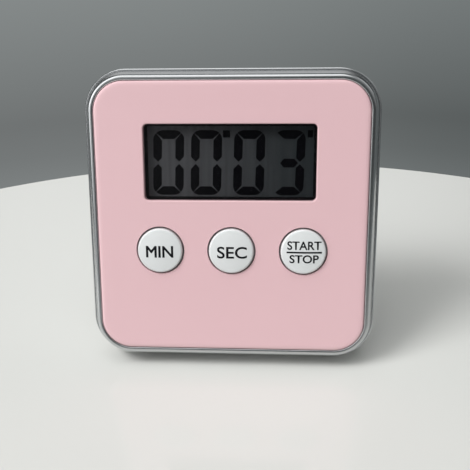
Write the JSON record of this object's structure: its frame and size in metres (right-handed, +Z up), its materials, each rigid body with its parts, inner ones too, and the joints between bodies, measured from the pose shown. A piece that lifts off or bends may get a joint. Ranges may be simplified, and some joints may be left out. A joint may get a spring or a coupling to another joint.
{
  "type": "digital timer",
  "caption": "Square digital countdown timer with a smoked display window, round push buttons, a silver frame ring and a fold-out stand",
  "frame": {"origin": "On the table, centred under the bounding box of the timer standing open on its stand", "axes": "+Z up, the front face looks towards -Y and up, leaning back 15 degrees; +X is to the right of someone facing the display; the stand reaches back along +Y"},
  "size_m": [0.07, 0.0446, 0.0702],
  "materials": {
    "pink_plastic": "glossy pale pink moulding",
    "satin_silver": "satin silver plating",
    "white_plastic": "smooth white moulding",
    "smoked_lens": "smoked clear window",
    "display_glass": "liquid crystal glass",
    "grey_film": "grey reflecting film",
    "black_plastic": "black moulding",
    "silicone": "pale silicone rubber",
    "carbon_rubber": "conducting black rubber",
    "board_green": "green coated board",
    "black_resin": "black potting resin",
    "tinned_metal": "bright plated steel",
    "brass": "thin brass disc",
    "ceramic": "fired ceramic",
    "cell_jacket": "dark printed jacket, its density stands in for a filled cell",
    "screw_steel": "plated steel",
    "red_wire": "red sleeving",
    "black_wire": "black sleeving"
  },
  "bodies": {
    "case": {"frame_ring": "satin_silver", "front_panel": "pink_plastic", "display_lens": "smoked_lens", "lcd_front_glass": "display_glass", "lcd_rear_glass": "display_glass", "lcd_reflector": "grey_film", "zebra_strip": "carbon_rubber", "lcd_holder": "black_plastic", "rubber_dome_minutes": "silicone", "rubber_dome_seconds": "silicone", "rubber_dome_start_stop": "silicone", "circuit_board": "board_green", "chip_resin": "black_resin", "crystal": "tinned_metal", "capacitor_1": "ceramic", "capacitor_2": "ceramic", "case_screw_1": "screw_steel", "case_screw_2": "screw_steel", "case_screw_3": "screw_steel", "case_screw_4": "screw_steel", "board_screw_1": "screw_steel", "board_screw_2": "screw_steel", "board_screw_3": "screw_steel", "board_screw_4": "screw_steel", "back_cover": "white_plastic", "battery_cell": "cell_jacket", "contact_negative": "tinned_metal", "contact_positive": "tinned_metal", "battery_spring": "tinned_metal", "battery_wire_black": "black_wire", "battery_wire_red": "red_wire", "sounder_disc": "brass", "sounder_ceramic": "ceramic", "sounder_wire_black": "black_wire", "sounder_wire_red": "red_wire", "magnet_left": "tinned_metal", "magnet_right": "tinned_metal", "stand_hinge_pin": "screw_steel"},
    "button_minutes": {"button_minutes": "white_plastic", "contact_pill_minutes": "carbon_rubber"},
    "button_seconds": {"button_seconds": "white_plastic", "contact_pill_seconds": "carbon_rubber"},
    "button_start_stop": {"button_start_stop": "white_plastic", "contact_pill_start_stop": "carbon_rubber"},
    "stand": {"stand": "white_plastic"},
    "battery_door": {"battery_door": "white_plastic"}
  },
  "joints": [
    {"name": "minutes_press", "type": "slide", "parent": "case", "child": "button_minutes", "axis": [0, 0.9659, -0.2588], "range_m": [0, 0.0008], "stiffness_N_per_m": 1200, "springref_m": -0.0002, "deforming": ["rubber_dome_minutes"]},
    {"name": "seconds_press", "type": "slide", "parent": "case", "child": "button_seconds", "axis": [0, 0.9659, -0.2588], "range_m": [0, 0.0008], "stiffness_N_per_m": 1200, "springref_m": -0.0002, "deforming": ["rubber_dome_seconds"]},
    {"name": "start_stop_press", "type": "slide", "parent": "case", "child": "button_start_stop", "axis": [0, 0.9659, -0.2588], "range_m": [0, 0.0008], "stiffness_N_per_m": 1200, "springref_m": -0.0002, "deforming": ["rubber_dome_start_stop"]},
    {"name": "stand_fold", "type": "hinge", "parent": "case", "child": "stand", "pos_m": [0, -0.00294, 0.02492], "axis": [1, 0, 0], "range_deg": [0, 120]},
    {"name": "door_slide", "type": "slide", "parent": "case", "child": "battery_door", "axis": [1, 0, 0], "range_m": [0, 0.063]}
  ]
}
